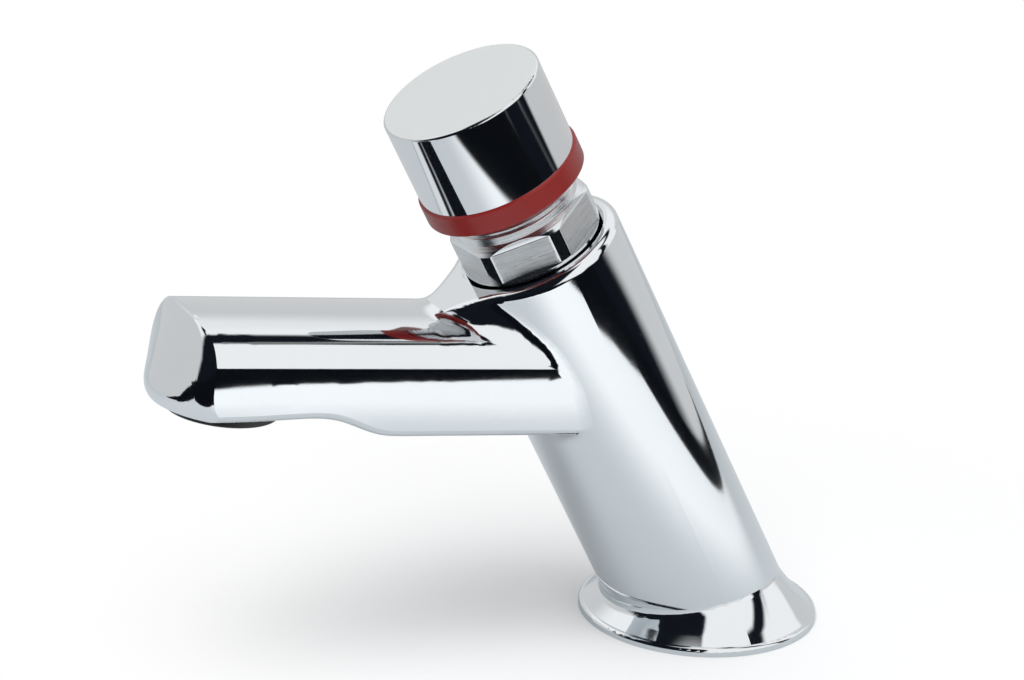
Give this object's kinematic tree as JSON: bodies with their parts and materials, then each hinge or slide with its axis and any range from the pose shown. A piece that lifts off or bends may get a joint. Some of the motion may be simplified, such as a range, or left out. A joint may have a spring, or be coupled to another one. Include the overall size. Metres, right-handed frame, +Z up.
{
  "type": "push timed tap",
  "caption": "Deck-mounted push timed basin tap with leaning barrel, flat-topped spout, hexagon headwork, coloured ring and chrome push button.",
  "frame": {"origin": "centre of the foot's underside, in the plane of the deck", "axes": "+Z up out of the deck, the spout points along -Y, X across"},
  "size_m": [0.05, 0.1475, 0.1746],
  "materials": {
    "chrome_casting": "polished chrome plate on cast brass",
    "chrome_button": "polished chrome side with a finely brushed top",
    "brushed_chrome": "brushed plated brass with polished corners",
    "red_plastic": "matt red moulded plastic",
    "black_plastic": "black moulded plastic",
    "dark_plastic": "dark moulded plastic",
    "white_plastic": "natural white engineering plastic",
    "brass": "turned brass",
    "stainless": "turned or drawn stainless steel",
    "seal_rubber": "black sealing rubber",
    "grey_rubber": "dark grey sheet rubber"
  },
  "bodies": {
    "tap": {"tap_body": "chrome_casting", "inlet_tail": "brass", "tail_o_ring": "seal_rubber", "base_gasket": "grey_rubber", "anti_rotation_peg": "brass", "clamp_washer_rubber": "grey_rubber", "clamp_washer_steel": "stainless", "back_nut": "brass", "inlet_strainer": "stainless", "headwork_housing": "brushed_chrome", "collar_o_ring": "seal_rubber", "port_cage": "brass", "cage_o_ring": "seal_rubber", "gland_o_ring": "seal_rubber", "gland_bush": "white_plastic", "return_spring": "stainless", "outlet_housing": "black_plastic", "outlet_washer": "seal_rubber", "outlet_core": "dark_plastic", "outlet_mesh": "stainless"},
    "plunger": {"spindle": "stainless", "piston": "white_plastic", "piston_lip_seal": "seal_rubber", "metering_pin": "brass", "piston_clip": "stainless", "valve_washer": "seal_rubber", "valve_holder": "brass", "valve_screw": "stainless", "thrust_washer": "stainless", "carrier_clip": "stainless"},
    "button": {"cap_carrier": "white_plastic", "push_cap": "chrome_button", "indice_ring": "red_plastic"}
  },
  "joints": [
    {"name": "button_press", "type": "slide", "parent": "tap", "child": "plunger", "axis": [0, 0.4695, -0.8829], "range_m": [0, 0.005], "stiffness_N_per_m": 2500, "springref_m": -0.004, "deforming": ["return_spring"]},
    {"name": "button_spin", "type": "hinge", "parent": "plunger", "child": "button", "pos_m": [0, 0.00208, 0], "axis": [0, -0.4695, 0.8829], "continuous": true}
  ]
}
